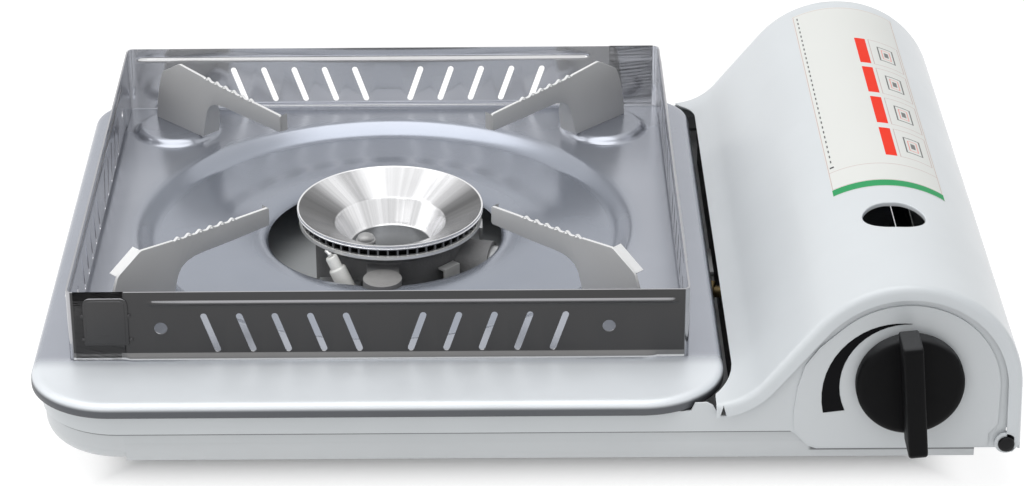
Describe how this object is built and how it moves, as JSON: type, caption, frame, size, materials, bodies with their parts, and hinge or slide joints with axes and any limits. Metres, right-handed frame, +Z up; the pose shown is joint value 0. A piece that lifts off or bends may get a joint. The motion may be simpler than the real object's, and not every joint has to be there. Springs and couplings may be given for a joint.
{
  "type": "butane cassette stove",
  "caption": "Tabletop cassette stove with a hinged cartridge cover, a toothed pot support in each corner and a wind guard.",
  "frame": {"origin": "middle of the footprint on the table, under the rubber feet", "axes": "+X to the right seen from the knob's side, +Y to the rear, +Z up"},
  "size_m": [0.3428, 0.2778, 0.0808],
  "materials": {
    "body_paint": "gloss",
    "cover_paint": "gloss",
    "zinc_steel": "satin",
    "plate_steel": "polished",
    "support_steel": "satin",
    "guard_steel": "polished",
    "cast_grey": "cast",
    "spun_aluminium": "spun",
    "ring_steel": "satin",
    "tube_steel": "satin",
    "brass": "satin",
    "ceramic": "glazed ceramic",
    "lead_red": "silicone",
    "igniter_plastic": "matte",
    "white_plastic": "satin",
    "die_cast": "as cast",
    "yellow_zinc": "yellow zinc",
    "magnet": "matte",
    "black_rubber": "matte",
    "knob_plastic": "satin",
    "black_print": "printed",
    "film": "printed film",
    "black_steel": "gloss"
  },
  "bodies": {
    "base": {"base_pan": "body_paint", "cartridge_trough": "zinc_steel", "body_frame": "body_paint", "bay_partition": "zinc_steel", "rubber_feet": "black_rubber", "body_screws": "zinc_steel", "burner_base": "cast_grey", "flame_ring": "ring_steel", "burner_cap": "spun_aluminium", "burner_cap_screw": "ring_steel", "burner_fixing_screws": "zinc_steel", "mixing_tube": "tube_steel", "air_collar": "brass", "injector": "brass", "gas_pipe": "brass", "pipe_nuts": "brass", "burner_stay": "zinc_steel", "electrode_ceramic": "ceramic", "electrode_needle": "ring_steel", "electrode_bracket": "zinc_steel", "ignition_lead": "lead_red", "piezo_igniter": "igniter_plastic", "regulator_body": "die_cast", "diaphragm_cover": "yellow_zinc", "regulator_bracket": "zinc_steel", "regulator_screws": "zinc_steel", "cartridge_collar": "die_cast", "collar_magnet": "magnet", "valve_gasket": "black_rubber", "locating_key": "zinc_steel", "heat_plate": "spun_aluminium", "knob_index": "black_print", "cover_hinge_pins": "black_steel", "cover_catch": "zinc_steel"},
    "cover": {"cover": "cover_paint", "cover_label": "film"},
    "knob": {"knob": "knob_plastic", "valve_spindle": "brass", "ignition_cam": "white_plastic"},
    "striker": {"igniter_striker": "white_plastic"},
    "top_plate": {"top_plate": "plate_steel", "pot_support_rear_left": "support_steel", "pot_support_rear_right": "support_steel", "pot_support_front_left": "support_steel", "pot_support_front_right": "support_steel"},
    "wind_guard": {"wind_guard_front_right": "guard_steel", "wind_guard_rear_left": "guard_steel"}
  },
  "joints": [
    {"name": "cover_hinge", "type": "hinge", "parent": "base", "child": "cover", "pos_m": [0.16605, 0.0086, 0.0203], "axis": [0, 1, 0], "range_deg": [0, 95]},
    {"name": "knob_turn", "type": "hinge", "parent": "base", "child": "knob", "pos_m": [0.13165, -0.1299, 0.045], "axis": [0, -1, 0], "range_deg": [0, 115]},
    {"name": "igniter_slide", "type": "slide", "parent": "base", "child": "striker", "axis": [-1, 0, 0], "range_m": [0, 0.004]},
    {"name": "plate_lift", "type": "slide", "parent": "base", "child": "top_plate", "axis": [0, 0, 1], "range_m": [0, 0.06]},
    {"name": "guard_lift", "type": "slide", "parent": "top_plate", "child": "wind_guard", "axis": [0, 0, 1], "range_m": [0, 0.06]}
  ],
  "couplings": [
    {"joint": "igniter_slide", "follows": "knob_turn", "m_per_rad": 0.001993}
  ]
}
